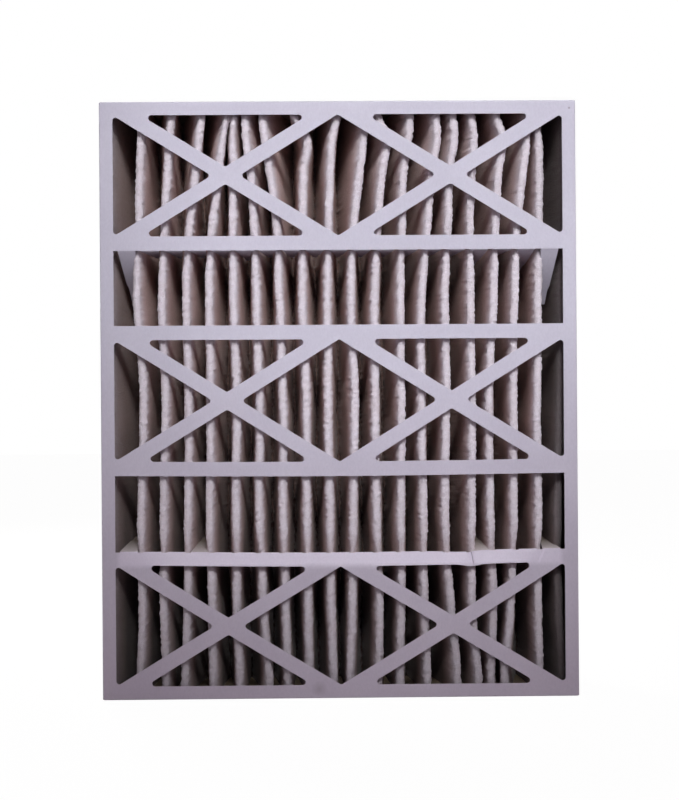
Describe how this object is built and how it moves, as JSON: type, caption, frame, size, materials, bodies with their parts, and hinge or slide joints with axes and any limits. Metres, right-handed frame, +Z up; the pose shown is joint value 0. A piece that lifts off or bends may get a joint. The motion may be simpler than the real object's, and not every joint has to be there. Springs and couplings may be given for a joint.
{
  "type": "pleated panel air filter",
  "caption": "Deep pleated air filter panel: folded white board frame with crossed straps and windows around a thick pleated sheet, standing on its short edge.",
  "frame": {"origin": "middle of the bottom wall, on the surface that the filter stands on", "axes": "+Z up along the long side, +X to the right as seen from the front face, +Y from the front face to the rear face"},
  "size_m": [0.5016, 0.1112, 0.6287],
  "materials": {
    "frame_board": "coated, satin",
    "filter_media": "matt, fibrous",
    "adhesive": "dull"
  },
  "bodies": {
    "root": {"front_frame": "frame_board", "rear_frame": "frame_board", "media_pack": "filter_media", "end_seal_top": "adhesive", "end_seal_bottom": "adhesive", "side_seal_left": "adhesive", "side_seal_right": "adhesive"}
  },
  "joints": []
}
